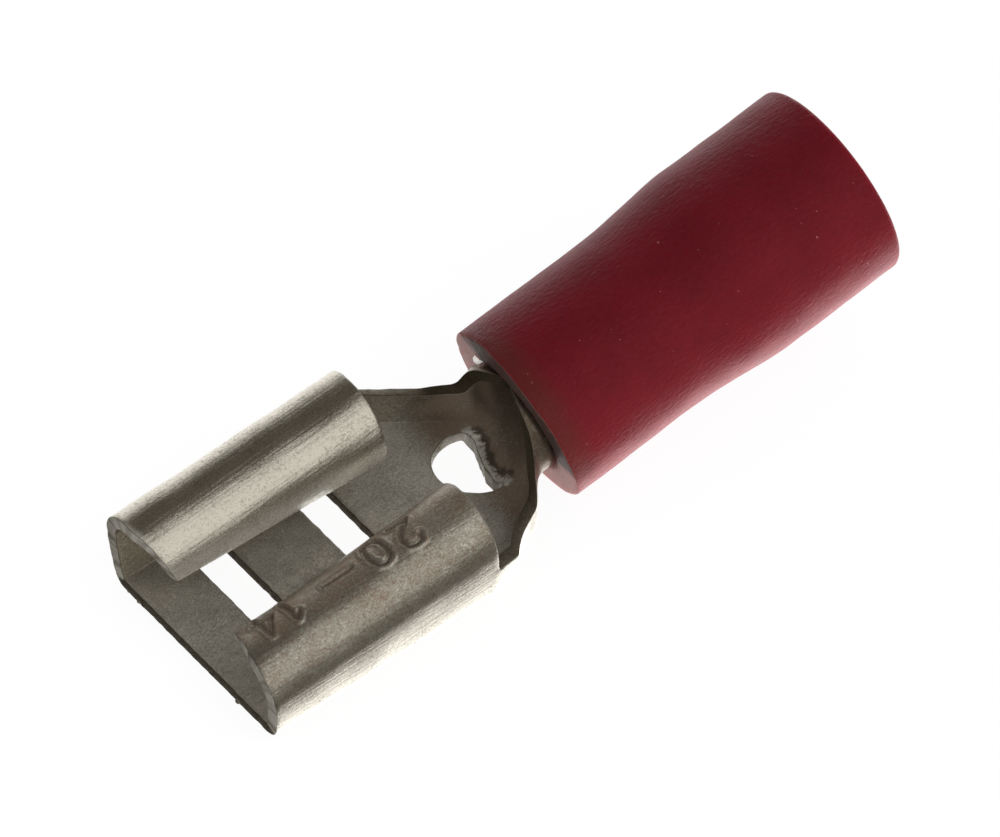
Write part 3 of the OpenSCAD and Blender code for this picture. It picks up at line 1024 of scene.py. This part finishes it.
print("sleeve: turning the wall")
line = sleeveProfile()
curve = bpy.data.curves.new("sleeveProfile", "CURVE")
curve.dimensions = "3D"
spline = curve.splines.new("POLY")
spline.points.add(len(line) - 1)
for point, (along, radius) in zip(spline.points, line):
    point.co = (along * mm, radius * mm, 0.0, 1.0)
spline.use_cyclic_u = True
profile = bpy.data.objects.new("sleeveProfile", curve)
bpy.context.scene.collection.objects.link(profile)
vinylSleeve = grow("vinylSleeve", profile, latheTree(), {
    "Turns": sleeve["turns"],
    "Wave size": sleeve["waveSize"] * mm,
    "Wave height": sleeve["waveHeight"] * mm,
    "Cut height": sleeve["cutHeight"] * mm,
    "Lip turn": sleeve["lipTurn"] * rad,
    "Lip lean": sleeve["lipLean"] * mm,
    "Lip bow": sleeve["lipBow"] * mm,
    "Seed": sleeve["seed"],
    "Surface": redVinyl,
})
finishSleeve(vinylSleeve)
mouthX, mouthZ, tilt = baseLine(np.array(neckEnd))
axis = Vector((math.cos(tilt), 0, math.sin(tilt)))
upwards = Vector((-math.sin(tilt), 0, math.cos(tilt)))
start = Vector((mouthX, 0, mouthZ - sheet["thick"])) + sheet["barrelRadius"] * upwards
start = (start + sleeve["barrelProud"] * axis) * mm
vinylSleeve.data.transform(Matrix.Translation(start) @ Matrix.Rotation(-float(tilt), 4, "Y"))
faceOutwards(vinylSleeve)


nibs = {  # x, y, z and size
    "floorEdge": [(0.03, 3.02, -0.30, 0.07), (0.02, 2.55, -0.30, 0.08),
                  (0.04, 2.45, -0.26, 0.05), (0.01, -1.93, -0.27, 0.10),
                  (0.03, -2.2, -0.32, 0.05)],
    # the nubs on the sleeve's face are glowing painted highlights
    "sleeveFace": [(11.00, 1.50, 2.40, 0.13), (10.92, -1.47, 1.06, 0.17),
                   (10.99, 1.38, 2.47, 0.09), (10.95, -1.43, 1.19, 0.12)],
    "burrRagged": 0.05,
    "glintRagged": 0.07,
    "waves": 9.0,  # per mm
}


def nibTree():  # sets a ragged ball on each place
    tree, b, get = newTree("scatterNibs", [
        ("Places", "Geometry"), ("Ragged", "Float"), ("Seed", "Int"),
        ("Surface", "Material")], "Nibs")
    ball = b.node("GeometryNodeMeshIcoSphere", None, {"Radius": 1.0, "Subdivisions": 4})
    size = b.node("GeometryNodeInputNamedAttribute", {"data_type": "FLOAT"}, {"Name": "size"})
    turn = b.node("FunctionNodeRandomValue", {"data_type": "FLOAT_VECTOR"}, {
        "Min": (-1.0, -1.0, -1.0), "Max": (1.0, 1.0, 1.0), "Seed": get("Seed")})
    many = b.node("GeometryNodeInstanceOnPoints", None, {
        "Points": get("Places"), "Instance": ball, "Rotation": turn, "Scale": size})
    solid = b.node("GeometryNodeRealizeInstances", None, {"Geometry": many})
    wave = b.node("ShaderNodeTexNoise", {"noise_dimensions": "3D"}, {
        "Scale": nibs["waves"] / mm, "Detail": 2.0})
    push = b.vector("SCALE", b.node("GeometryNodeInputNormal"),
                    scale=(wave - 0.5) * get("Ragged"))
    moved = b.node("GeometryNodeSetPosition", None, {"Geometry": solid, "Offset": push})
    done = b.node("GeometryNodeSetMaterial", None,
                  {"Geometry": moved, "Material": get("Surface")})
    b.node("NodeGroupOutput", None, {"Nibs": done})
    return tree


def nibPlaces(name, rows):
    holder = newObject(name, [row[:3] for row in rows], [], False)
    addLayer(holder, "size", [row[3] * mm for row in rows])
    return holder


# painted highlight: pale nubs that glow, for white glints beside the barrel on the sleeve's face
def paintGlowingGlint(b):
    return b.node("ShaderNodeBsdfPrincipled", None, {
        "Base Color": (0.9, 0.86, 0.82, 1.0),
        "Roughness": 0.35,
        "Emission Color": (1.0, 0.97, 0.93, 1.0),
        "Emission Strength": 0.35,
    })


def paintBurr(b):
    return b.node("ShaderNodeBsdfPrincipled", None, {
        "Base Color": (0.5, 0.47, 0.40, 1.0),
        "Metallic": 0.8,
        "Roughness": 0.3,
    })


# the flash on the sleeve's face is glowing nubs, painted highlights
print("small parts: burrs on the floor's edge, flash on the sleeve's face")
scatterNibs = nibTree()
edgeBurrs = grow("edgeBurrs", nibPlaces("edgePlaces", nibs["floorEdge"]), scatterNibs, {
    "Ragged": nibs["burrRagged"] * mm, "Seed": 4, "Surface": newMaterial("burrMetal", paintBurr)})
faceGlints = grow("faceGlints", nibPlaces("glintPlaces", nibs["sleeveFace"]), scatterNibs, {
    "Ragged": nibs["glintRagged"] * mm, "Seed": 9, "Surface": newMaterial("glowingGlint", paintGlowingGlint)})


studio = {  # directions are (azimuth, elevation) and lobes (outer, inner), in degrees
    "floorHalf": 300,
    "floorGap": 0.01,
    "restsAt": 11.0,  # how far behind the mouth the sleeve touches the floor, in mm
    "floorGlow": 0.93,
    "floorColour": 0.12,
    "warm": (0.082, 0.072, 0.056),
    "white": (1.35, 1.35, 1.35),
    "whiteFrom": (75.0, -40.0),
    "whiteLobes": ((84, 70, 0.42), (70, 36, 0.58)),  # with the share of each
    "whiteAhead": (-0.05, 0.28),
    "under": (1.30, 1.30, 1.30),
    "underFrom": (25.0, -68.0),
    "underLobe": (38, 15),
    "side": (0.10, 0.10, 0.09),
    "sideFrom": (-70.0, 12.0),
    "sideLobe": (45, 10),
    "diffuse": 0.52,
    "diffuseWhite": 2.3,
    "softFrom": (-50.0, -52.0),
    "softLobe": (80, 30),
    "lampFrom": (-66.0, 38.0),
    "lampAim": (0.008, 0, 0.001),  # in metres, as its reach is
    "lampReach": 0.5,
    "lampAngle": 33.0,
    "lampLevel": 0.85,
}


def towards(azimuth, elevation):
    a, e = azimuth * rad, elevation * rad
    return Vector((math.cos(e) * math.cos(a), math.cos(e) * math.sin(a), math.sin(e)))


def paintFloor(b):
    pale = b.node("ShaderNodeEmission", None, {
        "Color": (1, 1, 1, 1), "Strength": studio["floorGlow"]})
    matt = b.node("ShaderNodeBsdfDiffuse", None, {
        "Color": (*(studio["floorColour"],) * 3, 1)})
    return b.node("ShaderNodeAddShader", None, {0: pale, 1: matt})


print("studio: floor, lamp, world and camera")
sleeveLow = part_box("sleeve")[0].z
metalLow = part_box("terminal")[0].z
slope = math.atan2(metalLow - sleeveLow, studio["restsAt"] * mm)
level = Vector((0, 0, metalLow - studio["floorGap"] * mm))
half = studio["floorHalf"]
corners = [(-half, -half, 0), (half, -half, 0), (half, half, 0), (-half, half, 0)]
floor = newObject("paleFloor", corners, [(0, 1, 2, 3)], False)
floor.data.transform(Matrix.Translation(level) @ Matrix.Rotation(slope, 4, "Y"))
floor.data.materials.append(newMaterial("paleFloor", paintFloor))
floor.visible_glossy = False
floor.visible_diffuse = False


# what the metal mirrors, what softly lights the rest, and the white that the camera sees
def paintWorld(b):
    s = studio
    looking = b.node("ShaderNodeTexCoord")

    def facing(key):
        return b.vector("DOT_PRODUCT", looking, tuple(towards(*s[key])), out=1)

    def lobe(wire, outer, inner):
        return wire.ramp(math.cos(outer * rad), math.cos(inner * rad))

    white = facing("whiteFrom")
    (outer, middle, low), (middle, inner, high) = s["whiteLobes"]
    ahead = b.node("ShaderNodeSeparateXYZ", None, {"Vector": looking}).ramp(*s["whiteAhead"])
    glow = (lobe(white, outer, middle) * low + lobe(white, middle, inner) * high) * ahead
    under = b.vector("SCALE", s["under"], scale=lobe(facing("underFrom"), *s["underLobe"]))
    side = b.vector("SCALE", s["side"], scale=lobe(facing("sideFrom"), *s["sideLobe"]))
    mirrored = b.vector("ADD", b.vector("ADD", b.mixed(glow, s["warm"], s["white"]), under), side)
    wide = lobe(facing("softFrom"), *s["softLobe"])
    soft = b.mixed(wide, (s["diffuse"],) * 3, (s["diffuseWhite"],) * 3)
    rays = b.node("ShaderNodeLightPath")
    sky = b.mixed(b.other(rays, "Is Glossy Ray"), soft, mirrored)
    sky = b.mixed(b.other(rays, "Is Camera Ray"), sky, (1.0, 1.0, 1.0))
    back = b.node("ShaderNodeBackground", None, {"Color": sky, "Strength": 1.0})
    b.node("ShaderNodeOutputWorld", None, {"Surface": back})


world = bpy.data.worlds.new("studio")
bpy.context.scene.world = world
world.use_nodes = True
world.cycles.sampling_method = "NONE"
paintWorld(Bench(world.node_tree))

lampData = bpy.data.lights.new("softLamp", "AREA")
lampData.shape = "DISK"
lampData.size = 2 * studio["lampReach"] * math.tan(studio["lampAngle"] * rad)
lampData.energy = studio["lampLevel"] * math.pi ** 2 * (lampData.size / 2) ** 2
lamp = bpy.data.objects.new("softLamp", lampData)
lampWay = towards(*studio["lampFrom"])
lamp.location = Vector(studio["lampAim"]) + studio["lampReach"] * lampWay
lamp.rotation_mode = "QUATERNION"
lamp.rotation_quaternion = (-lampWay).to_track_quat("-Z", "Y")
bpy.context.scene.collection.objects.link(lamp)

view = {  # place in mm
    "place": (-119.046, -187.675, 283.1),
    "right": (0.78781, -0.61414, -0.04672),
    "up": (0.50138, 0.59541, 0.62778),
    "back": (-0.35773, -0.518, 0.77698),
    "lens": 479.28,
}
cameraData = bpy.data.cameras.new("camera")
cameraData.lens = view["lens"]
cameraData.sensor_width = 36.0
cameraData.clip_start = 0.01
cameraData.clip_end = 10.0
camera = bpy.data.objects.new("camera", cameraData)
turn = Matrix((view["right"], view["up"], view["back"])).transposed()
camera.matrix_world = Matrix.Translation(Vector(view["place"]) * mm) @ turn.to_4x4()
bpy.context.scene.collection.objects.link(camera)
bpy.context.scene.camera = camera
bpy.context.scene.view_settings.view_transform = "Standard"

for piece, node, slot in (
        (terminalMetal, "terminal", "tinned_brass"), (vinylSleeve, "sleeve", "red_vinyl"),
        (edgeBurrs, None, "tinned_brass"), (faceGlints, None, "red_vinyl")):
    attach(piece, "root")
    if node:
        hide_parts(node)
